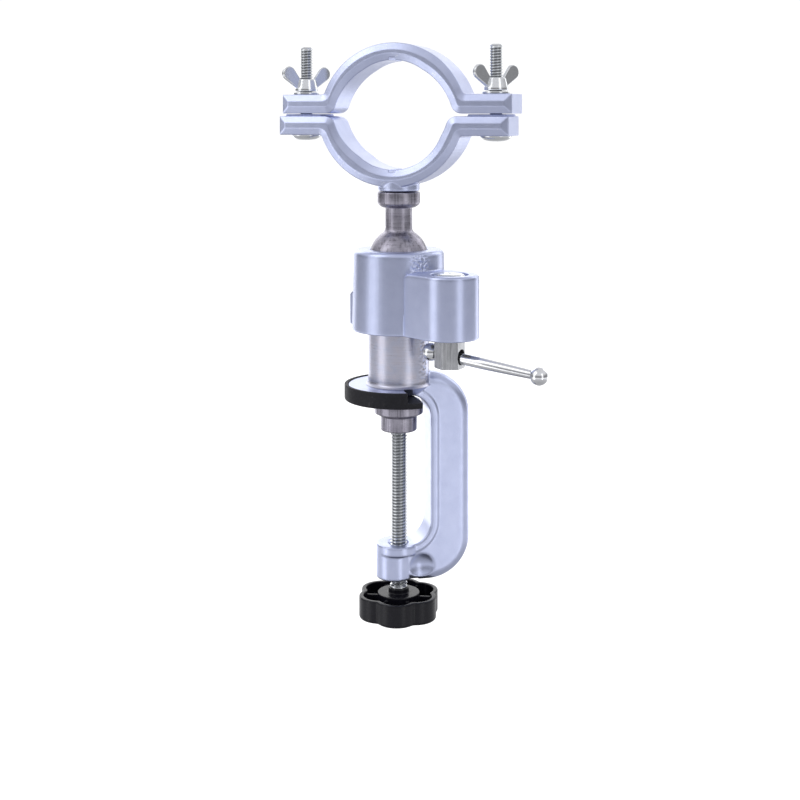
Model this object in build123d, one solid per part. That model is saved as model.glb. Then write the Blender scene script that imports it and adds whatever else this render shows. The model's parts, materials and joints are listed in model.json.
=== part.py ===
from build123d import *
import math
import os

# Bench-clamp ball-joint collar holder.
# Origin: clamp screw axis, on the underside of the rubber bench pad.
# +Z up, +X from the screw towards the spine of the C-frame. Millimetres.

# Bench clamp
STEM_R = 14.0
STEM_ROOT_R = 9.5
STEM_TOP = 47.9
PLATE_R = 23.2
PLATE_BOTTOM = 2.6
PLATE_TOP = 6.9
PLATE_EDGE_X = -1.2
PAD_R = 25.0
PAD_TOP = 7.2
ARM_TOP = 12.4
SPINE_INNER_X = 13.6
SPINE_OUTER_X = 32.8
THROAT_BOTTOM = -66.1
FRAME_BOTTOM = -81.9
ARM_BOTTOM = -83.0
OUTER_R_TOP = 20.0
OUTER_R_BOTTOM = 19.5
INNER_R = 10.5
WEB_WIDTH = 13.5
WEB_ROUND = 4.8
RIM_WIDTH = 14.5
RIM_THICK = 3.5
LUG_R = 9.8
LUG_X = -0.5
LUG_LOWER_R = 8.3
LUG_LOWER_X = -2.0
DISH_R = 8.8
DISH_DEPTH = 2.2
DISH_X = 9.3
DISH_Z = -75.8

# Clamp screw, foot and knob
SCREW_R = 3.97
RUN = 0.05
FOOT_R = 11.25
FOOT_TOP = -0.3
FOOT_BEVEL = 1.9
FOOT_RIM_BOTTOM = -6.4
HUB_R = 8.35
HUB_TOP = -7.8
HUB_BOTTOM = -14.5
KNOB_TOP = -89.1
KNOB_BOTTOM = -99.4
KNOB_WALL = 2.0
KNOB_LOBES = 6
KNOB_LOBE_R = 9.6
KNOB_LOBE_AT = 9.3
KNOB_TURN = -109.0
HUB_DISC_R = 9.6
NECK_R = 4.75
NUT_ACROSS = 12.7

# Swivel housing
HOUSING_BOTTOM = 31.9
HOUSING_TOP = 68.9
HOUSING_R_BOTTOM = 21.5
HOUSING_R_TOP = 20.8
BALL_R = 13.6
BALL_Z = 65.1
STUD_NECK_R = 6.2
BOSS_DEG = -61.0
BOSS_REACH = 33.6
BOSS_R = 13.1
BOSS_TOP = 60.2
BOSS_START = 17.9
BOLT_R = 3.175
WEDGE_R = 8.0
LOCK_Z = 48.0
LUG_HALF = 7.0
LUG_REACH = 27.6

# Lock nut and its sliding bar
NUT_TOP = 31.6
NUT_BOTTOM = 18.8
NUT_AF = 11.8
NUT_DEG = -43.0
CROSS_Z = 24.0
CROSS_R = 3.4
BAR_DROOP = 6.2
BAR_R = 2.5
BAR_END_R = 2.0
BAR_BALL_R = 4.0
BAR_INNER = -9.4
BAR_OUTER = 43.3

# Split ring collar
RING_Z = 130.6
RING_BORE = 25.0
RELIEF_R = 29.6
LOWER_RELIEF_R = 28.6
LOWER_OFFSET = -1.3
RELIEF_SHIFT = 5.4
OUTER_R = 36.0
OUTER_SHIFT = 3.0
RING_HALF_WIDTH = 10.0
FACE_DROP = 1.2
FACE_SLOPE = 3.2
BEND_R = 5.0
LAND_BLEND_R = 12.0
RING_DEG = -33.0
SPLIT_GAP = 1.2
STEP_GAP = 0.3
STEP_X = 44.5
STEP_HALF = 9.0
EAR_END = 55.5
EAR_STAGGER = 0.8
EAR_THICK = 8.8
EAR_BOLT_X = 46.5
WING_BOLT_R = 3.175
WING_BOLT_TIP = 162.5
WASHER_THICK = 1.2
COLLAR_BOSS_R = 9.65
COLLAR_BOSS_BOTTOM = 95.6
WING_DEG = 58.0


def span(radius, low, high):
    """Upright round bar between two heights."""
    return Pos(0, 0, (low + high) / 2) * Cylinder(radius, high - low)


def cone(low_r, high_r, low, high):
    """Upright cone frustum between two heights."""
    return Pos(0, 0, (low + high) / 2) * Cone(low_r, high_r, high - low)


def block(x0, x1, y0, y1, z0, z1):
    """Box between six planes."""
    middle = Pos((x0 + x1) / 2, (y0 + y1) / 2, (z0 + z1) / 2)
    return middle * Box(x1 - x0, y1 - y0, z1 - z0)


def turned(points):
    """Solid of revolution about Z from (radius, height) points."""
    face = make_face(Plane.XZ * Polyline(*points, close=True))
    return revolve(face, Axis.Z)


def boss_place(z=0.0):
    """Frame on the clamp bolt axis, +X pointing away from the stem."""
    return Rot(0, 0, BOSS_DEG) * Pos(BOSS_REACH, 0, z)


def bar_place():
    """Frame in the lock nut's cross hole, +Z along the sliding bar."""
    turn = Rot(0, 0, NUT_DEG - BOSS_DEG) * Rot(0, 90 + BAR_DROOP, 0)
    return boss_place(CROSS_Z) * turn


def ring_place():
    """Frame at the ring centre, +X towards one ear, -Y out of the front."""
    return Pos(0, 0, RING_Z) * Rot(0, 0, RING_DEG)


def c_outline(outer_x, top, bottom, outer_top_r, outer_bottom_r):
    """Side view of the C between an outer contour and the throat."""
    outer = Polyline(
        (0, top),
        (outer_x, top),
        (outer_x, bottom),
        (0, bottom),
        (0, THROAT_BOTTOM),
        (SPINE_INNER_X, THROAT_BOTTOM),
        (SPINE_INNER_X, PLATE_BOTTOM),
        (0, PLATE_BOTTOM),
        close=True,
    )
    face = make_face(outer)
    corners = face.vertices().filter_by(lambda v: v.X > SPINE_INNER_X - 0.1)
    inner = corners.filter_by(lambda v: v.X < SPINE_INNER_X + 0.1)
    face = fillet(inner, INNER_R)
    upper = face.vertices().sort_by_distance((outer_x, top))[0]
    face = fillet(upper, outer_top_r)
    lower = face.vertices().sort_by_distance((outer_x, bottom))[0]
    return fillet(lower, outer_bottom_r)


def is_outer_edge(edge):
    """True for the long edges around the outside of the C."""
    middle = edge.center()
    side = abs(abs(middle.Y) - WEB_WIDTH / 2) < 0.01
    outside = (
        middle.X > SPINE_INNER_X + 6
        or middle.Z > ARM_TOP - 0.5
        or middle.Z < ARM_BOTTOM + 0.5
    )
    return side and outside


def c_web():
    """Thick rounded web of the C."""
    face = c_outline(SPINE_OUTER_X, ARM_TOP, ARM_BOTTOM, OUTER_R_TOP, OUTER_R_BOTTOM)
    web = extrude(Plane.XZ * face, WEB_WIDTH / 2, both=True)
    web = fillet(web.edges().filter_by(is_outer_edge), WEB_ROUND)
    for side in (-1, 1):
        away = side * (WEB_WIDTH / 2 + DISH_R - DISH_DEPTH)
        web -= Pos(DISH_X, away, DISH_Z) * Sphere(DISH_R)
    return web - block(-1, LUG_LOWER_R, -20, 20, ARM_BOTTOM - 1, FRAME_BOTTOM)


def c_rim():
    """Wider rim that lines the throat."""
    outer_x = SPINE_INNER_X + RIM_THICK
    top = PLATE_BOTTOM + RIM_THICK
    bottom = THROAT_BOTTOM - RIM_THICK
    face = c_outline(outer_x, top, bottom, INNER_R + RIM_THICK, INNER_R + RIM_THICK)
    rim = extrude(Plane.XZ * face, RIM_WIDTH / 2, both=True)
    sides = rim.faces().filter_by(Axis.Y)
    return fillet([edge for side in sides for edge in side.edges()], 0.5)


def screw_lug():
    """End of the lower arm: a flange over a slimmer boss set a little outwards."""
    flange = span(LUG_R, THROAT_BOTTOM - RIM_THICK - 0.8, THROAT_BOTTOM)
    flange = fillet(flange.edges().group_by(Axis.Z)[0], 0.6)
    boss = span(LUG_LOWER_R, FRAME_BOTTOM, THROAT_BOTTOM - 1)
    boss = fillet(boss.edges().group_by(Axis.Z)[0], 0.8)
    return Pos(LUG_X, 0, 0) * flange + Pos(LUG_LOWER_X, 0, 0) * boss


def c_frame():
    """C-shaped clamp casting with jaw plate, stem and screw lug."""
    plate = span(PLATE_R, PLATE_BOTTOM, PLATE_TOP)
    plate -= block(PLATE_EDGE_X, 40, -40, 40, 0, 20)
    stem = span(STEM_R, PLATE_TOP, STEM_TOP)
    stem = chamfer(stem.edges().group_by(Axis.Z)[-1], 0.8)
    stem += cone(STEM_ROOT_R, STEM_R, PLATE_BOTTOM, PLATE_TOP)
    frame = c_web() + c_rim() + plate + stem + screw_lug()
    frame -= cone(SCREW_R, SCREW_R + 1.3, THROAT_BOTTOM - 1.3, THROAT_BOTTOM)
    return frame - span(SCREW_R + RUN, FRAME_BOTTOM - 1, THROAT_BOTTOM + 1)


def bench_pad():
    """Rubber cup over the jaw plate, open where the arm leaves it."""
    cup = span(PAD_R, 0, PAD_TOP)
    cup = fillet(cup.edges().group_by(Axis.Z)[0], 0.8)
    cup -= span(PLATE_R + RUN, PLATE_BOTTOM, PAD_TOP + 1)
    cup -= block(-1.5, 40, -40, 40, PLATE_BOTTOM, 20)
    cup -= block(5.4, 40, -40, 40, -1, 20)
    cup -= block(SPINE_INNER_X - INNER_R, 40, -RIM_WIDTH / 2 - 0.3, RIM_WIDTH / 2 + 0.3, -1, 20)
    for radius in (13.5, 17.0, 20.5):
        cup -= span(radius + 0.5, -1, 0.5) - span(radius - 0.5, -2, 2)
    return cup


def pressure_foot():
    """Swivelling foot on the end of the clamp screw."""
    foot = turned(
        [
            (0, FOOT_TOP),
            (FOOT_R - FOOT_BEVEL, FOOT_TOP),
            (FOOT_R, FOOT_TOP - FOOT_BEVEL),
            (FOOT_R, FOOT_RIM_BOTTOM),
            (HUB_R, HUB_TOP),
            (HUB_R, HUB_BOTTOM + 0.5),
            (HUB_R - 0.5, HUB_BOTTOM),
            (0, HUB_BOTTOM),
        ]
    )
    foot -= span(SCREW_R + RUN, HUB_BOTTOM - 1, -6.5)
    foot -= span(2.85, -7, -2.9)
    return foot - span(5.05, -13.2, -12.4)


def foot_clip():
    """Split ring that keeps the screw in the foot."""
    ring = span(5.0, -13.2, -12.4) - span(3.3, -14, -12)
    return ring - block(0, 9, -1.6, 1.6, -14, -12)


def clamp_screw():
    """Clamp screw: plain stand-in for a 5/16-18 coarse thread."""
    return turned(
        [
            (0, -3.2),
            (2.4, -3.2),
            (2.8, -3.6),
            (2.8, -6.9),
            (SCREW_R, -6.9),
            (SCREW_R, -12.1),
            (3.2, -12.1),
            (3.2, -13.5),
            (SCREW_R, -13.5),
            (SCREW_R, KNOB_BOTTOM + 0.4),
            (SCREW_R - 0.6, KNOB_BOTTOM - 0.2),
            (0, KNOB_BOTTOM - 0.2),
        ]
    )


def knob_outline(inset=0.0):
    """Lobed plan of the knob, shrunk by a wall thickness."""
    radius = KNOB_LOBE_R - inset
    plan = Circle(KNOB_LOBE_AT)
    for k in range(KNOB_LOBES):
        angle = math.radians(KNOB_TURN + k * 360 / KNOB_LOBES)
        place = Pos(KNOB_LOBE_AT * math.cos(angle), KNOB_LOBE_AT * math.sin(angle))
        plan += place * Circle(radius)
    return fillet(plan.vertices(), 2.4)


def knob():
    """Star knob, hollow above, with a hub, ribs and a nut pocket below."""
    body = extrude(Pos(0, 0, KNOB_BOTTOM) * knob_outline(), KNOB_TOP - KNOB_BOTTOM)
    body = fillet(body.edges().group_by(Axis.Z)[0], 1.4)
    body = fillet(body.edges().group_by(Axis.Z)[-1], 0.5)
    floor = KNOB_BOTTOM + 3.0
    body -= extrude(Pos(0, 0, floor) * knob_outline(KNOB_WALL), 10)
    body += span(HUB_DISC_R, floor - 0.5, KNOB_TOP + 0.1)
    body += span(NECK_R, KNOB_TOP, KNOB_TOP + 2.4)
    for k in range(KNOB_LOBES):
        turn = Rot(0, 0, KNOB_TURN + (k + 0.5) * 360 / KNOB_LOBES)
        body += turn * block(HUB_DISC_R - 1, 15.5, -0.6, 0.6, floor - 0.5, KNOB_TOP - 1.6)
    body -= span(SCREW_R + 0.02, KNOB_BOTTOM - 10, KNOB_TOP + 10)
    pocket = RegularPolygon(NUT_ACROSS / 2 + 0.05, 6, major_radius=False)
    return body - extrude(Pos(0, 0, KNOB_BOTTOM - 1) * pocket, 6.5)


def knob_nut():
    """Hex nut in the underside of the knob."""
    low = KNOB_BOTTOM + 0.4
    nut = extrude(Pos(0, 0, low) * RegularPolygon(NUT_ACROSS / 2, 6, major_radius=False), 5.0)
    return nut - span(SCREW_R + 0.02, low - 1, low + 6)


def housing_boss():
    """Block around the clamp bolt, standing proud of the round wall."""
    plan = Pos(BOSS_REACH) * Circle(BOSS_R)
    plan += Pos((BOSS_START + BOSS_REACH) / 2) * Rectangle(BOSS_REACH - BOSS_START, 2 * BOSS_R)
    boss = extrude(Pos(0, 0, HOUSING_BOTTOM) * plan, BOSS_TOP - HOUSING_BOTTOM)
    top = boss.edges().group_by(Axis.Z)[-1]
    boss = chamfer(top.sort_by(Axis.X)[0], 1.8)
    top = boss.faces().sort_by(Axis.Z)[-1].edges()
    boss = fillet(top.filter_by(lambda e: e.center().X > BOSS_START + 2.5), 1.2)
    boss += block(4, BOSS_START + 1, -9, 9, HOUSING_BOTTOM, BOSS_TOP - 3)
    return Rot(0, 0, BOSS_DEG) * boss


def housing_lug():
    """Tapered pad on the wall opposite the boss."""
    side = make_face(
        Plane.XZ
        * Polyline(
            (10, HOUSING_BOTTOM),
            (LUG_REACH, HOUSING_BOTTOM),
            (LUG_REACH, 45.8),
            (19, 51.5),
            (10, 51.5),
            close=True,
        )
    )
    pad = extrude(side, LUG_HALF, both=True)
    pad = fillet(pad.edges().filter_by(Axis.Z).group_by(Axis.X)[-1], 1.5)
    return Rot(0, 0, BOSS_DEG + 180) * pad


def housing_body():
    """Outside of the housing."""
    wall = cone(HOUSING_R_BOTTOM, HOUSING_R_TOP, HOUSING_BOTTOM, HOUSING_TOP)
    wall = fillet(wall.edges().group_by(Axis.Z)[-1], 2.4)
    return wall + housing_boss() + housing_lug()


def housing():
    """Swivel housing: socket for the ball, bore for the stem, clamp boss."""
    body = housing_body()
    body -= span(STEM_R + RUN, HOUSING_BOTTOM - 1, BALL_Z)
    body -= Pos(0, 0, BALL_Z) * Sphere(BALL_R + RUN)
    body -= boss_place() * span(8.6, BOSS_TOP - 3.0, BOSS_TOP + 1)
    body -= boss_place() * span(BOLT_R + 0.1, HOUSING_BOTTOM, BOSS_TOP)
    body -= boss_place() * span(WEDGE_R + RUN, HOUSING_BOTTOM - 1, 55.0)
    hole = Pos(20, 0, LOCK_Z) * Rot(0, 90, 0) * Cylinder(4.55, 14)
    return body - Rot(0, 0, BOSS_DEG) * hole


def clamp_bolt():
    """Round-headed bolt down through the boss into the lock nut."""
    top = BOSS_TOP - 3.0
    bolt = turned(
        [
            (0, 28.4),
            (BOLT_R - 0.4, 28.4),
            (BOLT_R, 28.8),
            (BOLT_R, top),
            (7.0, top),
            (7.0, top + 2.2),
            (6.2, top + 3.0),
            (4.4, top + 3.3),
            (1.1, top + 3.4),
            (1.1, top + 2.6),
            (0, top + 2.2),
        ]
    )
    return boss_place() * bolt


def wedge(low, high, cut_low):
    """Round plug with a sloped flank that drives the slipper."""
    plug = span(WEDGE_R, low, high) - span(BOLT_R + 0.1, low - 1, high + 1)
    face = low if cut_low else high
    slope = Pos(-WEDGE_R, 0, face) * Rot(0, 45, 0) * Box(5.66, 40, 5.66)
    return boss_place() * (plug - slope)


def upper_wedge():
    """Plug above the slipper."""
    return wedge(LOCK_Z + 0.4, 54.8, True)


def lower_wedge():
    """Plug below the slipper, pushed up by the nut."""
    return wedge(33.6, LOCK_Z - 0.4, False)


def lock_slipper():
    """Cross pin that is pressed against the stem and the ball seat."""
    pin = turned([(0, 10), (4.5, 10), (4.5, 25.0), (1.2, 28.3), (0, 28.3)])
    pin = Pos(0, 0, LOCK_Z) * Rot(0, 90, 0) * pin
    pin -= span(STEM_R + 0.35, 30, 60)
    return Rot(0, 0, BOSS_DEG) * pin


def lock_washer():
    """Washer between the lower wedge and the nut."""
    return boss_place() * (span(7.4, 32.3, 33.6) - span(BOLT_R + 0.2, 32, 34))


def lock_nut():
    """Long hex nut with a cross hole for the sliding bar."""
    plan = Pos(0, 0, NUT_BOTTOM) * RegularPolygon(NUT_AF / 2, 6, major_radius=False)
    nut = extrude(plan, NUT_TOP - NUT_BOTTOM)
    nut = Rot(0, 0, 30) * nut
    corner = NUT_AF / 2 / math.cos(math.pi / 6)
    trim = turned(
        [
            (0, NUT_BOTTOM - 1),
            (corner - 1.9, NUT_BOTTOM - 1),
            (corner + 0.1, NUT_BOTTOM + 0.55),
            (corner + 0.1, NUT_TOP + 1),
            (0, NUT_TOP + 1),
        ]
    )
    nut &= trim
    nut -= Pos(0, 0, CROSS_Z) * Rot(0, 90, 0) * Cylinder(CROSS_R, 30)
    nut -= span(BOLT_R + RUN, 28.0, NUT_TOP + 1)
    return boss_place() * Rot(0, 0, NUT_DEG - BOSS_DEG) * nut


def tbar_rod():
    """Round bar, slightly thinner towards its ends."""
    rod = turned(
        [
            (0, BAR_INNER - 0.5),
            (BAR_END_R, BAR_INNER - 0.5),
            (BAR_END_R, BAR_INNER + BAR_BALL_R + 0.1),
            (BAR_R, BAR_INNER + BAR_BALL_R + 1.3),
            (BAR_R, 20),
            (BAR_END_R, BAR_OUTER - BAR_BALL_R - 2),
            (BAR_END_R, BAR_OUTER + 0.5),
            (0, BAR_OUTER + 0.5),
        ]
    )
    return bar_place() * rod


def tbar_ball(centre, side):
    """Ball pressed on one end of the bar."""
    ball = Pos(0, 0, centre) * Sphere(BAR_BALL_R)
    low, high = sorted((centre + 0.6 * side, centre - 10 * side))
    return bar_place() * (ball - span(BAR_END_R, low, high))


def ball_seat():
    """Cup under the ball, free to turn in the housing bore."""
    cup = span(STEM_R, 48.25, 60.5)
    cup = chamfer(cup.edges().group_by(Axis.Z)[0], 3.4)
    return cup - Pos(0, 0, BALL_Z) * Sphere(BALL_R + RUN)


def is_neck_root(edge):
    """True for the circle where the neck leaves the ball."""
    return abs(edge.radius - STUD_NECK_R) < 0.01 and edge.center().Z < BALL_Z + BALL_R + 1


def ball_stud():
    """Ball, neck, collar and spigot that carry the ring."""
    ball = Pos(0, 0, BALL_Z) * Sphere(BALL_R)
    neck = span(STUD_NECK_R, BALL_Z, 88.5)
    collar = span(9.85, 88.1, 95.3)
    collar = fillet(collar.edges().group_by(Axis.Z)[0], 2.0)
    collar = fillet(collar.edges().group_by(Axis.Z)[-1], 0.5)
    stud = ball + neck + collar
    joint = [e for e in stud.edges().filter_by(GeomType.CIRCLE) if is_neck_root(e)]
    stud = fillet(joint, 1.5)
    return stud + span(5.0, 95, 102.7)


def ring_half_outline(sign, left, right, relief_r, offset):
    """Front view of one half of the collar; sign is +1 above the split."""
    split = sign * SPLIT_GAP / 2
    top = split + sign * EAR_THICK
    half = Pos(offset, -sign * OUTER_SHIFT) * Circle(OUTER_R)
    half &= Pos(0, split + sign * OUTER_R) * Rectangle(3 * OUTER_R, 2 * OUTER_R)
    ears = Pos((left + right) / 2, (split + top) / 2) * Rectangle(right - left, EAR_THICK)
    plan = half + ears
    roots = [v for v in plan.vertices() if abs(v.Y - top) < 0.01 and abs(v.X) < OUTER_R]
    plan = fillet(roots, 1.5)
    plan -= Circle(RING_BORE)
    plan -= Pos(offset, -sign * RELIEF_SHIFT) * Circle(relief_r)
    kinks = [v for v in plan.vertices() if abs(math.hypot(v.X, v.Y) - RING_BORE) < 0.05]
    plan = fillet(kinks, LAND_BLEND_R)
    bends = [v for v in plan.vertices() if abs(v.Y - split) < 0.01 and abs(v.X) < RELIEF_R + 1]
    return fillet(bends, BEND_R)


def ring_half(sign, left, right, relief_r, offset=0.0):
    """One half of the collar about its own centre, both faces sloped to a ridge."""
    outline = ring_half_outline(sign, left, right, relief_r, offset)
    half = extrude(Plane.XZ * outline, RING_HALF_WIDTH, both=True)
    for index in (0, -1):
        face = half.faces().sort_by(Axis.Y)[index]
        half = chamfer(face.edges(), length=FACE_SLOPE, length2=FACE_DROP, reference=face)
    notch = sorted((0, sign * (RING_BORE + 1.2)))
    return half - block(-1.5, 1.5, -20, 20, *notch)


def collar_upper():
    """Upper half of the ring collar."""
    half = ring_half(1, -EAR_END + EAR_STAGGER, EAR_END + EAR_STAGGER, RELIEF_R)
    for x in (-EAR_BOLT_X, EAR_BOLT_X):
        half -= Pos(x, 0, 0) * span(WING_BOLT_R + 0.3, -1, 20)
    return ring_place() * half


def collar_lower():
    """Lower half of the ring collar with the boss that takes the stud."""
    half = ring_half(-1, -EAR_END - EAR_STAGGER, EAR_END - EAR_STAGGER, LOWER_RELIEF_R, LOWER_OFFSET)
    boss = span(COLLAR_BOSS_R, COLLAR_BOSS_BOTTOM - RING_Z, -28)
    boss = fillet(boss.edges().group_by(Axis.Z)[0], 0.8)
    boss -= Rot(90, 0, 0) * Cylinder(RING_BORE + 2, 40)
    half += boss
    for x in (-STEP_X, STEP_X):
        half += block(x - STEP_HALF, x + STEP_HALF, -7.5, 7.5, -SPLIT_GAP, SPLIT_GAP / 2 - STEP_GAP)
    half -= span(5.05, -40, 103.2 - RING_Z)
    for x in (-EAR_BOLT_X, EAR_BOLT_X):
        half -= Pos(x, 0, 0) * span(WING_BOLT_R + RUN, -20, 1)
    return ring_place() * half


def wing_bolt(x):
    """Mushroom-headed bolt up through both ears."""
    seat = -SPLIT_GAP / 2 - EAR_THICK
    tip = WING_BOLT_TIP - RING_Z
    bolt = turned(
        [
            (0, seat - 2.6),
            (3.4, seat - 2.4),
            (5.8, seat - 1.7),
            (7.0, seat - 0.7),
            (7.2, seat),
            (WING_BOLT_R, seat),
            (WING_BOLT_R, tip - 0.6),
            (WING_BOLT_R - 0.6, tip),
            (0, tip),
        ]
    )
    return ring_place() * Pos(x, 0, 0) * bolt


def washer(x):
    """Plain washer on the upper ear."""
    low = SPLIT_GAP / 2 + EAR_THICK
    ring = span(6.25, low, low + WASHER_THICK) - span(WING_BOLT_R + 0.3, low - 1, low + 3)
    return ring_place() * Pos(x, 0, 0) * ring


def wing_nut(x):
    """Wing nut with a conical hub and two raised paddles."""
    low = SPLIT_GAP / 2 + EAR_THICK + WASHER_THICK + 0.3
    hub = turned(
        [
            (0, 0),
            (5.2, 0),
            (5.5, 0.3),
            (5.5, 1.2),
            (4.5, 5.6),
            (4.0, 6.0),
            (0, 6.0),
        ]
    )
    root = Pos(3.7, 2.6) * Circle(1.9)
    tip = Pos(9.9, 8.4) * Circle(3.4)
    paddle = make_hull([*root.edges(), *tip.edges()])
    wing = extrude(Plane.XZ * paddle, 0.95, both=True)
    sides = wing.faces().filter_by(Axis.Y)
    wing = fillet([edge for side in sides for edge in side.edges()], 0.5)
    nut = hub + wing + Rot(0, 0, 180) * wing
    nut -= span(WING_BOLT_R + RUN, -1, 9)
    return ring_place() * Pos(x, 0, low) * Rot(0, 0, WING_DEG) * nut


def main():
    os.makedirs("parts", exist_ok=True)
    nodes = {
        "c_frame": c_frame(),
        "bench_pad": bench_pad(),
        "pressure_foot": pressure_foot(),
        "foot_clip": foot_clip(),
        "clamp_screw": clamp_screw(),
        "knob": knob(),
        "knob_nut": knob_nut(),
        "housing": housing(),
        "clamp_bolt": clamp_bolt(),
        "upper_wedge": upper_wedge(),
        "lower_wedge": lower_wedge(),
        "lock_slipper": lock_slipper(),
        "lock_washer": lock_washer(),
        "lock_nut": lock_nut(),
        "tbar_rod": tbar_rod(),
        "tbar_ball_inner": tbar_ball(BAR_INNER, -1),
        "tbar_ball_outer": tbar_ball(BAR_OUTER, 1),
        "ball_seat": ball_seat(),
        "ball_stud": ball_stud(),
        "collar_lower": collar_lower(),
        "collar_upper": collar_upper(),
        "wing_bolt_left": wing_bolt(-EAR_BOLT_X),
        "wing_bolt_right": wing_bolt(EAR_BOLT_X),
        "washer_left": washer(-EAR_BOLT_X),
        "washer_right": washer(EAR_BOLT_X),
        "wing_nut_left": wing_nut(-EAR_BOLT_X),
        "wing_nut_right": wing_nut(EAR_BOLT_X),
    }
    for name, solid in nodes.items():
        solid.label = name
        export_step(solid, f"parts/{name}.step")


main()
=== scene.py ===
import json
import math

import bmesh
import bpy
from mathutils import Matrix, Vector, noise


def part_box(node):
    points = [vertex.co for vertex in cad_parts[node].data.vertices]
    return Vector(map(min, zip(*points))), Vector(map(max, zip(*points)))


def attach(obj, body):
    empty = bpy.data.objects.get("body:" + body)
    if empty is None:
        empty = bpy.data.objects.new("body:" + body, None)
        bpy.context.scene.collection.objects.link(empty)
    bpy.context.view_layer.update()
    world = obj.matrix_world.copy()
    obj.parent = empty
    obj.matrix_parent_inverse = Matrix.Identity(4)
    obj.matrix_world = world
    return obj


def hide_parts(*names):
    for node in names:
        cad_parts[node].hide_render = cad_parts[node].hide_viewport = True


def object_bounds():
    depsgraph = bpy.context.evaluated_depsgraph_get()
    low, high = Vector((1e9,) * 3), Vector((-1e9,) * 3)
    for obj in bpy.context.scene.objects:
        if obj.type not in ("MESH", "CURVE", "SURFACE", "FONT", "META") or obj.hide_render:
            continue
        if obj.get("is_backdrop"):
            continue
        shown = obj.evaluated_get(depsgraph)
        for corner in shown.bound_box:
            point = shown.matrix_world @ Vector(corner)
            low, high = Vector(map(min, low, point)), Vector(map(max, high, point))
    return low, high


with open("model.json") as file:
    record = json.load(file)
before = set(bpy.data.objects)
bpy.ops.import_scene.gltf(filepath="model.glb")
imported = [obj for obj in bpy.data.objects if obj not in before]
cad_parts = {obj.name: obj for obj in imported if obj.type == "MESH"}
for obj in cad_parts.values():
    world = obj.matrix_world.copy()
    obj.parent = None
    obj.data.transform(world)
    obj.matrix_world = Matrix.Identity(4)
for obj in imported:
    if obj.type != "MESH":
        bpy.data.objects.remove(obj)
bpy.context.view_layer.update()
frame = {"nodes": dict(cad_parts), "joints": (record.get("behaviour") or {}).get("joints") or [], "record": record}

MM = 0.001
INCH = 25.4
THINNEST_R = 0.01  # radius that stands in for a point on the axis

# Lengths of the pieces, in millimetres.
SCREW_PITCH = INCH / 18
BOLT_PITCH = INCH / 20
STEM_R = 14.04
GATE_R, GATE_Z = 20.6, 64.2  # gate mark on the housing, beside the boss
EAR_REACH = 9.4  # from the collar's axis to the outer face of an ear
BOLT_R, BOLT_ROOT_R, BOLT_TOP = 3.15, 2.46, 162.45
SCREW_R, SCREW_ROOT_R = 3.95, 3.06
BALL_R, BALL_Z = 13.58, 65.1
NECK_R = 6.9  # ball stud's radius where the ball runs into its neck
BOSS_SEAT_Z = 57.2  # floor of the recess for the clamp bolt's head
BAR_BALL_R, BAR_INNER, BAR_OUTER = 4.0, -9.4, 43.3

record = frame["record"]
joints = {j["name"]: j for j in frame["joints"]}
mounts = {m["name"]: m for m in record["mounts"]}
scene = bpy.context.scene


# ---------------------------------------------------------------- places

def upright(x, y):
    """Place of a vertical axis through a point in millimetres."""
    return Matrix.Translation((x, y, 0))


def axes_place(origin, x_axis, y_axis, z_axis):
    """Place from an origin in millimetres and three unit axes."""
    return Matrix.Translation(origin) @ Matrix((x_axis, y_axis, z_axis)).transposed().to_4x4()


def polar(radius, degrees, height):
    """Point at a radius and heading about the stem's axis, in millimetres."""
    angle = math.radians(degrees)
    return Vector((radius * math.cos(angle), radius * math.sin(angle), height))


def centre_mm(node):
    """Middle of a CAD node's box in millimetres."""
    low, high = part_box(node)
    return (low + high) / 2 / MM


STEM = upright(0, 0)
up = Vector((0, 0, 1))
ring_z = (Vector(mounts["tool_collar"]["pos_m"]) / MM).z
boss_at = Vector(joints["lock_nut_turn"]["pos_m"]) / MM
BOSS = upright(boss_at.x, boss_at.y)
boss_degrees = math.degrees(math.atan2(boss_at.y, boss_at.x))
bar_axis = Vector(joints["tbar_slide"]["axis"]).normalized()
bar_side = up.cross(bar_axis).normalized()
BAR = axes_place(boss_at, bar_side, bar_axis.cross(bar_side), bar_axis)


# ---------------------------------------------------------------- meshes

def shade_smooth(mesh, angle=None):
    """Smooth shading, with edges sharper than the angle kept hard."""
    mesh.polygons.foreach_set("use_smooth", [True] * len(mesh.polygons))
    if angle is not None:
        mesh.set_sharp_from_angle(angle=math.radians(angle))
    mesh.update()


def new_piece(name, mesh, body, material, replaced=()):
    """Adds a mesh to the scene as a piece that rides on a body."""
    piece = bpy.data.objects.new(name, mesh)
    scene.collection.objects.link(piece)
    mesh.materials.clear()
    mesh.materials.append(material)
    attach(piece, body)
    if replaced:
        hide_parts(*replaced)


def mesh_from_rings(name, rings, place):
    """Closed skin over rings of points given in local millimetres."""
    bm = bmesh.new()
    rows = [[bm.verts.new(place @ Vector(p) * MM) for p in ring] for ring in rings]
    count = len(rings[0])
    for low, high in zip(rows, rows[1:]):
        for i in range(count):
            j = (i + 1) % count
            bm.faces.new((low[i], low[j], high[j], high[i]))
    bm.faces.new(list(reversed(rows[0])))
    bm.faces.new(rows[-1])
    bmesh.ops.recalc_face_normals(bm, faces=bm.faces)
    mesh = bpy.data.meshes.new(name)
    bm.to_mesh(mesh)
    bm.free()
    return mesh


def angles_round(segments):
    """Headings of the points of a ring, in radians."""
    return [2 * math.pi * i / segments for i in range(segments)]


def circle(radius, height, angles):
    """Ring of points about the local Z axis."""
    radius = max(radius, THINNEST_R)
    return [(radius * math.cos(a), radius * math.sin(a), height) for a in angles]


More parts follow.
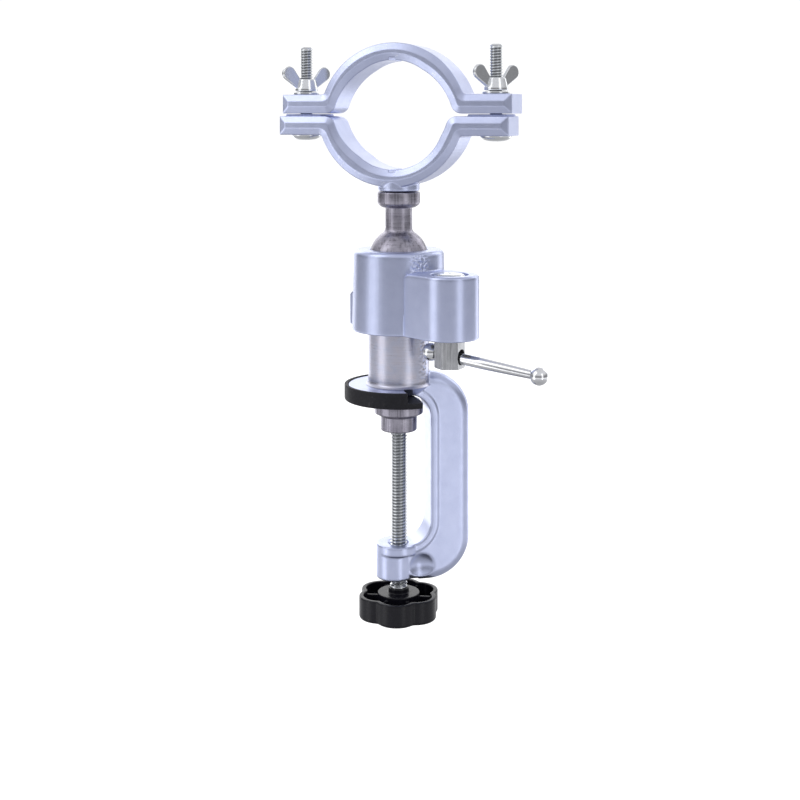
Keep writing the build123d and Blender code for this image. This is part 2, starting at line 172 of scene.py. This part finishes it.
def arc(radius, height, start, sweep, steps):
    """Profile points (radius, height) along a ball's outline, angles in degrees."""
    points = []
    for k in range(steps + 1):
        angle = math.radians(start + k * sweep / steps)
        points.append((radius * math.cos(angle), height + radius * math.sin(angle)))
    return points


def rounded(points, steps=4):
    """Profile with its corners rounded; each point is (radius, height, corner)."""
    out = []
    for k, (x, z, corner) in enumerate(points):
        if not corner or k in (0, len(points) - 1):
            out.append((x, z))
            continue
        here = Vector((x, z))
        back = Vector(points[k - 1][:2]) - here
        ahead = Vector(points[k + 1][:2]) - here
        reach = min(corner, back.length * 0.49, ahead.length * 0.49)
        start = here + back.normalized() * reach
        end = here + ahead.normalized() * reach
        for i in range(steps + 1):
            t = i / steps
            p = start.lerp(here, t).lerp(here.lerp(end, t), t)
            out.append((p.x, p.y))
    return out


def lathe(name, profile, place, segments=96):
    """Turned mesh from a profile of (radius, height) or (radius, height, corner)."""
    line = rounded([(*p, 0)[:3] for p in profile])
    angles = angles_round(segments)
    mesh = mesh_from_rings(name, [circle(r, z, angles) for r, z in line], place)
    shade_smooth(mesh, 32)
    return mesh


def thread_depth(phase):
    """Depth of a thread, 0 at the crest to 1 at the root, across one pitch."""
    from_root = abs(phase % 1.0 - 0.5) * 2
    return min(1.0, max(0.0, (0.90 - from_root) / 0.72))


def threaded_rod(name, parts, place, segments=48):
    """Rod built from plain (r, z) points and helical stretches.

    Each part is ("plain", [(r, z), ...]) or ("thread", major, minor, pitch, z0, z1).
    """
    rings, roots = [], []
    angles = angles_round(segments)
    for kind, *sizes in parts:
        if kind == "plain":
            rings += [circle(r, z, angles) for r, z in sizes[0]]
            roots += [0.0] * segments * len(sizes[0])
            continue
        major, minor, pitch, z0, z1 = sizes
        steps = max(2, int(abs(z1 - z0) / pitch * 10))
        for s in range(steps + 1):
            height = z0 + (z1 - z0) * s / steps
            fade = min(1.0, min(abs(height - z0), abs(z1 - height)) / pitch / 0.8)
            ring = []
            for a in angles:
                depth = thread_depth(height / pitch - a / (2 * math.pi)) * fade
                radius = major - (major - minor) * depth
                ring.append((radius * math.cos(a), radius * math.sin(a), height))
                roots.append(depth)
            rings.append(ring)
    mesh = mesh_from_rings(name, rings, place)
    # Thread depth is kept on the points; the plated finish paints shade into the roots from it.
    mesh.attributes.new("root", "FLOAT", "POINT").data.foreach_set("value", roots)
    shade_smooth(mesh, 50)
    return mesh


def softened(name, node, voxel, passes):
    """Mesh of a CAD node with every edge and corner rounded like a casting."""
    bm = bmesh.new()
    bm.from_mesh(frame["nodes"][node].data)
    mesh = bpy.data.meshes.new(name)
    bm.to_mesh(mesh)
    bm.free()
    carrier = bpy.data.objects.new(name + "_carrier", mesh)
    scene.collection.objects.link(carrier)
    remesh = carrier.modifiers.new("remesh", "REMESH")
    remesh.mode = "VOXEL"
    remesh.voxel_size = voxel * MM
    smooth = carrier.modifiers.new("smooth", "SMOOTH")
    smooth.factor = 0.5
    smooth.iterations = passes
    bpy.context.view_layer.update()
    graph = bpy.context.evaluated_depsgraph_get()
    result = bpy.data.meshes.new_from_object(carrier.evaluated_get(graph))
    bpy.data.objects.remove(carrier)
    shade_smooth(result)
    return result


def roughen(mesh, centre, reach, depth, size):
    """Lumps pushed out of the surface around a point, all in millimetres."""
    for vertex in mesh.vertices:
        at = vertex.co / MM
        near = 1 - (at - centre).length / reach
        if near > 0:
            lumps = noise.noise(at / size) + 0.5 * noise.noise(at * 2.3 / size)
            vertex.co += vertex.normal * lumps * min(1, near * 2) * depth * MM


def dimple(mesh, centre, reach, depth):
    """Small round dot pushed out of the surface at a point."""
    for vertex in mesh.vertices:
        near = 1 - ((vertex.co / MM - centre).length / reach) ** 2
        if near > 0:
            vertex.co += vertex.normal * near * depth * MM


# ---------------------------------------------------------------- materials

def dimmed(colour, factor):
    """Colour with every channel multiplied."""
    return tuple(c * factor for c in colour)


class Shader:
    """Small helper for building one material's nodes."""

    def __init__(self, name):
        self.material = bpy.data.materials.new(name)
        self.material.use_nodes = True
        self.tree = self.material.node_tree
        self.bsdf = self.tree.nodes["Principled BSDF"]
        self.place = self.node("ShaderNodeTexCoord").outputs["Object"]

    def node(self, kind, **settings):
        made = self.tree.nodes.new(kind)
        for key, value in settings.items():
            setattr(made, key, value)
        return made

    def link(self, source, target):
        self.tree.links.new(source, target)

    def set(self, **values):
        """Values for the shader's own sockets, named with _ for a space."""
        for key, value in values.items():
            self.bsdf.inputs[key.replace("_", " ")].default_value = value

    def scaled(self, x, y, z):
        """Coordinates stretched by three factors."""
        mapping = self.node("ShaderNodeMapping")
        mapping.inputs["Scale"].default_value = (x, y, z)
        self.link(self.place, mapping.inputs["Vector"])
        return mapping.outputs["Vector"]

    def noise(self, scale, detail=3.0, rough=0.55, vector=None):
        made = self.node("ShaderNodeTexNoise")
        made.inputs["Scale"].default_value = scale
        made.inputs["Detail"].default_value = detail
        made.inputs["Roughness"].default_value = rough
        self.link(vector or self.place, made.inputs["Vector"])
        return made.outputs["Fac"]

    def ramp(self, value, stops):
        """Colour from a value, by (position, colour) stops."""
        made = self.node("ShaderNodeValToRGB")
        ramp = made.color_ramp
        while len(ramp.elements) < len(stops):
            ramp.elements.new(0.5)
        for element, (at, colour) in zip(ramp.elements, stops):
            element.position = at
            element.color = (*colour, 1)
        self.link(value, made.inputs["Fac"])
        return made.outputs["Color"]

    def mix(self, factor, one, other):
        """Blend from one colour to the other; each may be a tuple or a socket."""
        made = self.node("ShaderNodeMix", data_type="RGBA")
        self.link(factor, made.inputs[0])
        for socket, value in ((6, one), (7, other)):
            if isinstance(value, tuple):
                made.inputs[socket].default_value = (*value, 1)
            else:
                self.link(value, made.inputs[socket])
        return made.outputs[2]

    def span(self, value, low, high, start=0.0, end=1.0):
        """Value carried from start..end to low..high."""
        made = self.node("ShaderNodeMapRange")
        made.inputs["From Min"].default_value = start
        made.inputs["From Max"].default_value = end
        made.inputs["To Min"].default_value = low
        made.inputs["To Max"].default_value = high
        self.link(value, made.inputs["Value"])
        return made.outputs["Result"]

    def pointiness(self, low, high):
        """0 where an edge is less sharp than low, 1 where it is sharper than high."""
        geometry = self.node("ShaderNodeNewGeometry")
        return self.span(geometry.outputs["Pointiness"], 0.0, 1.0, low, high)

    def bump(self, height, distance, strength=1.0, normal=None):
        """Bumped normal; the distance is in millimetres."""
        made = self.node("ShaderNodeBump")
        made.inputs["Strength"].default_value = strength
        made.inputs["Distance"].default_value = distance * MM
        self.link(height, made.inputs["Height"])
        if normal is not None:
            self.link(normal, made.inputs["Normal"])
        return made.outputs["Normal"]

    def finish(self, colour, roughness=None, normal=None):
        """Connects the results and gives the material back."""
        self.link(colour, self.bsdf.inputs["Base Color"])
        if roughness is not None:
            self.link(roughness, self.bsdf.inputs["Roughness"])
        if normal is not None:
            self.link(normal, self.bsdf.inputs["Normal"])
        return self.material


def cast_paint(name, wear_and_shade):
    """Silver-blue lacquer over a die casting, its edges rubbed bright by the given amount, with painted shade
    darkening its hollows and creases.
    """
    s = Shader(name)
    s.set(Metallic=0.90)
    patches = s.noise(140, 4)
    flake = s.noise(3600, 2)
    colour = s.ramp(patches, [(0.3, (0.53, 0.58, 0.80)), (0.7, (0.59, 0.64, 0.86))])
    colour = s.mix(s.span(flake, 0.0, 0.30, 0.40, 0.75), colour, (0.66, 0.70, 0.88))
    # Painted shade: hollows and creases are darkened towards a dark blue-grey.
    hollow_shade = s.span(s.pointiness(0.42, 0.485), 0.55, 0.0)
    hollow_shaded = s.mix(hollow_shade, colour, (0.22, 0.23, 0.30))
    colour_and_painted_light = s.mix(s.span(s.pointiness(0.575, 0.65), 0.0, wear_and_shade), hollow_shaded, (0.80, 0.82, 0.92))
    rough = s.span(s.noise(420, 3), 0.26, 0.38)
    grain = s.bump(s.noise(2400, 3), 0.016)
    grain = s.bump(s.noise(330, 2), 0.04, 0.5, grain)
    return s.finish(colour_and_painted_light, rough, grain)


def turned_metal(
    name, base, other, rough=(0.24, 0.40), lines=7000, depth=0.010, metal=0.92, streaks=0.0, across=90
):
    """Machined metal: fine rings about Z, or drawn lines along Z where across exceeds lines."""
    s = Shader(name)
    s.set(Metallic=metal)
    rings = s.noise(1.0, 3, 0.6, s.scaled(across, across, lines))
    mottled = s.noise(260, 4)
    colour = s.mix(s.span(mottled, 0.0, 1.0, 0.35, 0.68), base, other)
    if streaks:
        drawn = s.noise(1.0, 3, 0.6, s.scaled(900, 900, 45))
        colour = s.mix(s.span(drawn, 0.0, streaks, 0.50, 0.66), colour, dimmed(other, 0.35))
    bright = tuple(min(1, c * 1.35) for c in base)
    colour = s.mix(s.span(rings, 0.0, 0.45, 0.4, 0.75), colour, bright)
    roughness = s.span(rings, *rough, 0.3, 0.7)
    normal = s.bump(rings, depth)
    normal = s.bump(s.noise(700, 2), 0.012, 0.6, normal)
    return s.finish(colour, roughness, normal)


def plated(name, base, rough, grain, scale, wear_and_shade=(0.3, 0.3, 0.3)):
    """Plated steel with small pits and faint stains, with painted shade darkening its hollows and the roots of its
    threads.
    """
    s = Shader(name)
    s.set(Metallic=0.97)
    stained = tuple(b * w for b, w in zip(base, (0.8, 0.8, 0.82)))
    colour = s.mix(s.span(s.noise(500, 4), 0.0, 0.35, 0.5, 0.8), base, stained)
    # Painted shade: hollows take the given dark colour.
    colour_and_painted_light = s.mix(s.pointiness(0.42, 0.49), wear_and_shade, colour)
    root = s.node("ShaderNodeAttribute", attribute_name="root").outputs["Fac"]
    # Painted shade, darker still, in the roots of threads.
    colour_and_painted_light = s.mix(s.span(root, 0.0, 0.62, 0.35, 0.95), colour_and_painted_light, dimmed(wear_and_shade, 0.5))
    roughness = s.span(s.noise(900, 3), rough * 0.75, rough * 1.35, 0.3, 0.7)
    normal = s.bump(s.noise(scale, 3), grain)
    return s.finish(colour_and_painted_light, roughness, normal)


def moulded(name, base, rough, grain, scale):
    """Moulded rubber or plastic with a fine texture, and a painted sheen that makes its edges paler."""
    s = Shader(name)
    s.set(Metallic=0.0, Specular_IOR_Level=0.28)
    dusty = tuple(c * 1.8 + 0.002 for c in base)
    colour = s.mix(s.span(s.noise(700, 4), 0.0, 0.7, 0.45, 0.8), base, dusty)
    # Painted sheen: sharp edges are made slightly paler.
    colour_and_painted_light = s.mix(s.pointiness(0.52, 0.60), colour, tuple(c + 0.02 for c in base))
    roughness = s.span(s.noise(1300, 3), rough * 0.85, rough * 1.15, 0.3, 0.7)
    normal = s.bump(s.noise(scale, 3), grain)
    return s.finish(colour_and_painted_light, roughness, normal)


PAINT = cast_paint("cast_paint", 0.75)
FRESH_PAINT = cast_paint("fresh_paint", 0.0)
TURNED = turned_metal(
    "turned_stem", (0.52, 0.54, 0.66), (0.58, 0.56, 0.64), (0.26, 0.38), 6000, 0.008
)
RAW = turned_metal(
    "raw_steel", (0.40, 0.385, 0.45), (0.27, 0.255, 0.31), (0.24, 0.42), 5200, 0.016, 0.94, 0.75
)
# The last colour given to plated is the painted shade for hollows and thread roots.
ZINC = plated("zinc_thread", (0.78, 0.80, 0.82), 0.20, 0.006, 1500, (0.16, 0.17, 0.18))
BRIGHT = plated("bright_zinc", (0.80, 0.82, 0.84), 0.16, 0.010, 900, (0.25, 0.26, 0.28))
CHROME = plated("chrome_bar", (0.82, 0.83, 0.85), 0.13, 0.005, 1800)
NUT = turned_metal(
    "brushed_nut", (0.56, 0.57, 0.59), (0.44, 0.45, 0.47), (0.20, 0.36), 90, 0.012, 0.94, 0.5, 2600
)
RUBBER = moulded("black_rubber", (0.010, 0.010, 0.014), 0.55, 0.03, 1700)
PLASTIC = moulded("black_plastic", (0.005, 0.005, 0.009), 0.30, 0.010, 2400)
NYLON = moulded("nylon", (0.60, 0.58, 0.52), 0.5, 0.01, 1500)
INNER = turned_metal("inner_steel", (0.40, 0.40, 0.40), (0.46, 0.44, 0.42))

SLOT_MATERIALS = {
    "cast_paint": PAINT,
    "rubber": RUBBER,
    "raw_steel": RAW,
    "dark_steel": INNER,
    "zinc_steel": ZINC,
    "zinc_steel_nut": BRIGHT,
    "black_plastic": PLASTIC,
    "zinc_bolt": BRIGHT,
    "inner_steel": INNER,
    "brushed_nut": NUT,
    "chrome_bar": CHROME,
    "seat_nylon": NYLON,
    "bright_zinc": BRIGHT,
}
slot_of = {s["node"]: s["material_slot"] for s in record["subparts"]}
for node, thing in frame["nodes"].items():
    thing.data.materials.clear()
    thing.data.materials.append(SLOT_MATERIALS[slot_of[node]])


# ---------------------------------------------------------------- castings and mouldings

gate_mark = polar(GATE_R, boss_degrees - 14, GATE_Z)

for name, voxel, passes, paint in (
    ("c_frame", 0.34, 14, PAINT),
    ("housing", 0.34, 11, FRESH_PAINT),
    ("collar_lower", 0.26, 4, PAINT),
    ("collar_upper", 0.26, 4, PAINT),
):
    mesh = softened(name + "_casting", name, voxel, passes)
    if name == "housing":
        roughen(mesh, gate_mark, 6.0, 0.42, 0.9)
    new_piece(name + "_casting", mesh, name, paint, [name])

stem = lathe(
    "stem_turned",
    [
        (13.0, 7.0),
        (15.2, 7.0),
        (14.25, 7.9, 1.0),
        *[(STEM_R, 9.0 + 0.45 * k) for k in range(84)],
        (STEM_R, 46.9, 0.3),
        (13.2, 47.8),
        (12.0, 47.88),
    ],
    STEM,
    160,
)
for scar_z in (12, 16, 20, 24, 28):
    roughen(stem, polar(STEM_R, -44, scar_z), 5.0, 0.20, 1.0)
new_piece("stem_turned", stem, "c_frame", TURNED)

pad = softened("bench_pad_cup", "bench_pad", 0.28, 5)
for degrees in (-130, -117):
    dimple(pad, polar(25, degrees, 2.2), 0.9, 0.35)
new_piece("bench_pad_cup", pad, "c_frame", RUBBER, ["bench_pad"])

knob = softened("star_knob", "knob", 0.24, 5)
new_piece("star_knob", knob, "clamp_screw", PLASTIC, ["knob"])


# ---------------------------------------------------------------- screws

screw = threaded_rod(
    "clamp_screw_thread",
    [
        ("plain", [(0.0, -3.3), (2.4, -3.3), (2.8, -3.7), (2.8, -6.9), (3.9, -6.9), (3.9, -12.1)]),
        ("plain", [(3.2, -12.1), (3.2, -13.5), (3.1, -13.6)]),
        ("thread", SCREW_R, SCREW_ROOT_R, SCREW_PITCH, -13.8, -86.2),
        ("plain", [(SCREW_R, -86.4), (SCREW_R, -99.2), (3.4, -99.5), (0.0, -99.5)]),
    ],
    STEM,
)
new_piece("clamp_screw_thread", screw, "clamp_screw", ZINC, ["clamp_screw"])

# Domed head of a wing bolt: radius, and height above the face that it bears on.
BOLT_HEAD = [
    (0.0, -2.60),
    (2.0, -2.55),
    (3.8, -2.35),
    (5.4, -1.90),
    (6.6, -1.15),
    (7.1, -0.45),
    (7.15, -0.12),
    (7.0, 0.0),
    (BOLT_R, 0.0),
    (BOLT_R, 8.0),
]


def wing_fastener(side):
    """Bolt, wing nut and washer of one pair of ears."""
    bolt_node, nut_node = "wing_bolt_" + side, "wing_nut_" + side
    at = centre_mm(bolt_node)
    axis = upright(at.x, at.y)
    seat = ring_z - EAR_REACH
    bolt = threaded_rod(
        "wing_bolt_thread_" + side,
        [
            ("plain", [(r, seat + z) for r, z in BOLT_HEAD]),
            ("thread", BOLT_R, BOLT_ROOT_R, BOLT_PITCH, seat + 8.2, BOLT_TOP - 0.65),
            ("plain", [(2.6, BOLT_TOP - 0.25), (2.3, BOLT_TOP), (0.0, BOLT_TOP)]),
        ],
        axis,
        40,
    )
    new_piece(bolt_node + "_thread", bolt, "collar_lower", ZINC, [bolt_node])
    nut = softened("wing_nut_body_" + side, nut_node, 0.16, 2)
    new_piece("wing_nut_body_" + side, nut, nut_node, BRIGHT, [nut_node])
    low, high = ring_z + EAR_REACH + 0.05, ring_z + EAR_REACH + 1.15
    washer = lathe(
        "washer_disc_" + side,
        [(3.3, low), (6.2, low, 0.3), (6.2, high, 0.3), (3.3, high, 0.2), (3.3, low)],
        axis,
        64,
    )
    new_piece(
        "washer_disc_" + side, washer, "collar_upper", ZINC, ["washer_" + side]
    )


wing_fastener("left")
wing_fastener("right")


# ---------------------------------------------------------------- turned pieces and lock nut

foot = lathe(
    "pressure_foot_turned",
    [
        (0.0, -0.35),
        (9.3, -0.35, 0.4),
        (11.2, -2.3, 0.4),
        (11.2, -6.35, 0.35),
        (8.4, -7.8, 0.25),
        (8.33, -14.4, 0.8),
        (4.1, -14.4, 0.3),
        (4.1, -8.0),
        (0.0, -8.0),
    ],
    STEM,
)
new_piece("pressure_foot_turned", foot, "pressure_foot", RAW, ["pressure_foot"])

ball = [p for p in arc(BALL_R, BALL_Z, -89, 152, 39) if p[0] > NECK_R or p[1] < BALL_Z]
stud = lathe(
    "ball_stud_turned",
    [
        *ball,
        (6.4, 77.6),
        (6.2, 78.6),
        (6.2, 88.1, 0.4),
        (7.6, 88.1, 0.2),
        (9.85, 89.6, 1.2),
        (9.85, 95.2, 0.6),
        (5.0, 95.25, 0.2),
        (4.95, 102.6, 0.4),
        (0.0, 102.6),
    ],
    STEM,
)
new_piece("ball_stud_turned", stud, "ball_stud", RAW, ["ball_stud"])

head = lathe(
    "clamp_bolt_head",
    [
        (0.0, 28.5),
        (2.9, 28.5, 0.3),
        (2.9, BOSS_SEAT_Z),
        (6.9, BOSS_SEAT_Z, 0.3),
        (6.95, BOSS_SEAT_Z + 2.3, 0.5),
        (6.0, BOSS_SEAT_Z + 3.1, 0.8),
        (4.2, BOSS_SEAT_Z + 3.4, 0.8),
        (1.2, BOSS_SEAT_Z + 3.45, 0.2),
        (1.1, BOSS_SEAT_Z + 2.6, 0.1),
        (0.0, BOSS_SEAT_Z + 2.4),
    ],
    BOSS,
)
new_piece("clamp_bolt_head", head, "housing", BRIGHT, ["clamp_bolt"])

hex_nut = softened("lock_nut_hex", "lock_nut", 0.15, 3)
new_piece("lock_nut_hex", hex_nut, "lock_nut", NUT, ["lock_nut"])

bar = lathe(
    "sliding_bar",
    [
        *arc(BAR_BALL_R, BAR_INNER, -90, 150, 24),
        (2.0, BAR_INNER + 3.9),
        (2.5, BAR_INNER + 5.2),
        (2.5, 18.0),
        (2.25, 30.0),
        (2.0, BAR_OUTER - 4.3),
        *arc(BAR_BALL_R, BAR_OUTER, -60, 150, 24),
    ],
    BAR,
    48,
)
new_piece(
    "sliding_bar", bar, "tbar", CHROME, ["tbar_rod", "tbar_ball_inner", "tbar_ball_outer"]
)

for thing in frame["nodes"].values():
    shade_smooth(thing.data, 30)


# ---------------------------------------------------------------- studio

CAMERA_HEADING = 13  # degrees to the left of straight in front
CAMERA_REACH = 0.613
CAMERA_HEIGHT = 0.1319
AIM = Vector((0, 0, 0.03))  # what the soft boxes point at
WHITE = (1, 1, 1, 1)


def soft_box(name, azimuth, distance, height, size, energy):
    """Rectangular light aimed at the object; the azimuth is counted from the camera."""
    light = bpy.data.lights.new(name, "AREA")
    light.shape = "RECTANGLE"
    light.size, light.size_y = size
    light.energy = energy
    lamp = bpy.data.objects.new(name, light)
    scene.collection.objects.link(lamp)
    angle = math.radians(azimuth - 90 - CAMERA_HEADING)
    lamp.location = (distance * math.cos(angle), distance * math.sin(angle), height)
    lamp.rotation_euler = (AIM - lamp.location).to_track_quat("-Z", "Y").to_euler()


soft_box("left_box", -67, 1.0, 0.1, (0.54, 1.5), 2.15)
soft_box("right_box", 38, 1.1, 0.1, (0.36, 1.5), 1.4)
soft_box("front_top_box", -62, 0.7, 0.75, (0.6, 0.5), 0.85)
soft_box("rear_left", -150, 1.1, 0.2, (0.6, 1.4), 2.8)
soft_box("rear_middle", 180, 1.3, 0.28, (1.1, 0.8), 3.2)
soft_box("rear_right", 132, 1.1, 0.2, (0.5, 1.4), 2.5)

# Brightness of the room by the sine of the elevation, -1 straight down to 1 straight up.
ROOM_LEVELS = [
    (-1.0, 0.45),
    (-0.50, 0.55),
    (-0.34, 0.92),
    (-0.21, 0.92),
    (-0.12, 0.26),
    (0.10, 0.27),
    (0.45, 0.75),
    (1.0, 0.7),
]


def graded_room():
    """World that is graded by elevation for the object, and plain white behind it."""
    world = bpy.data.worlds.new("studio")
    scene.world = world
    world.use_nodes = True
    nodes, links = world.node_tree.nodes, world.node_tree.links
    room = nodes["Background"]
    heading = nodes.new("ShaderNodeTexCoord")
    split = nodes.new("ShaderNodeSeparateXYZ")
    links.new(heading.outputs["Generated"], split.inputs[0])
    height = nodes.new("ShaderNodeMapRange")
    height.inputs["From Min"].default_value = -1.0
    links.new(split.outputs["Z"], height.inputs["Value"])
    shades = nodes.new("ShaderNodeValToRGB")
    ramp = shades.color_ramp
    ramp.interpolation = "EASE"
    while len(ramp.elements) < len(ROOM_LEVELS):
        ramp.elements.new(0.5)
    for element, (sine, level) in zip(ramp.elements, ROOM_LEVELS):
        element.position = (sine + 1) / 2
        element.color = (level, level, level * 1.03, 1)
    links.new(height.outputs["Result"], shades.inputs["Fac"])
    links.new(shades.outputs["Color"], room.inputs["Color"])
    white = nodes.new("ShaderNodeBackground")
    white.inputs["Color"].default_value = WHITE
    white.inputs["Strength"].default_value = 1.05
    path = nodes.new("ShaderNodeLightPath")
    choose = nodes.new("ShaderNodeMixShader")
    links.new(path.outputs["Is Camera Ray"], choose.inputs[0])
    links.new(room.outputs[0], choose.inputs[1])
    links.new(white.outputs[0], choose.inputs[2])
    links.new(choose.outputs[0], nodes["World Output"].inputs["Surface"])


def pale_floor():
    """Plain floor below the object, which the metal doesn't mirror."""
    half = 6.0
    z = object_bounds()[0][2] - 0.06
    mesh = bpy.data.meshes.new("floor")
    mesh.from_pydata(
        [(-half, -half, z), (half, -half, z), (half, half, z), (-half, half, z)],
        [],
        [(0, 1, 2, 3)],
    )
    floor = bpy.data.objects.new("floor", mesh)
    scene.collection.objects.link(floor)
    floor.visible_glossy = False
    floor.visible_diffuse = False
    paper = Shader("pale_floor")
    paper.set(Roughness=0.9, Specular_IOR_Level=0.1, Emission_Color=WHITE, Emission_Strength=0.75)
    tone = paper.ramp(paper.noise(3, 2), [(0.3, (0.55, 0.55, 0.55)), (0.7, (0.60, 0.60, 0.60))])
    mesh.materials.append(paper.finish(tone))
    return floor


graded_room()
floor = pale_floor()
floor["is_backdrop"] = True

camera_data = bpy.data.cameras.new("camera")
camera = bpy.data.objects.new("camera", camera_data)
scene.collection.objects.link(camera)
look = math.radians(CAMERA_HEADING)
camera.location = (-CAMERA_REACH * math.sin(look), -CAMERA_REACH * math.cos(look), CAMERA_HEIGHT)
camera.rotation_euler = (math.radians(90), 0, -look)
camera_data.lens = 59.85
camera_data.sensor_width = 36
camera_data.shift_x = 0.0016
camera_data.shift_y = -0.36
camera_data.dof.use_dof = False
scene.camera = camera

scene.view_settings.view_transform = "Standard"
scene.view_settings.look = "None"
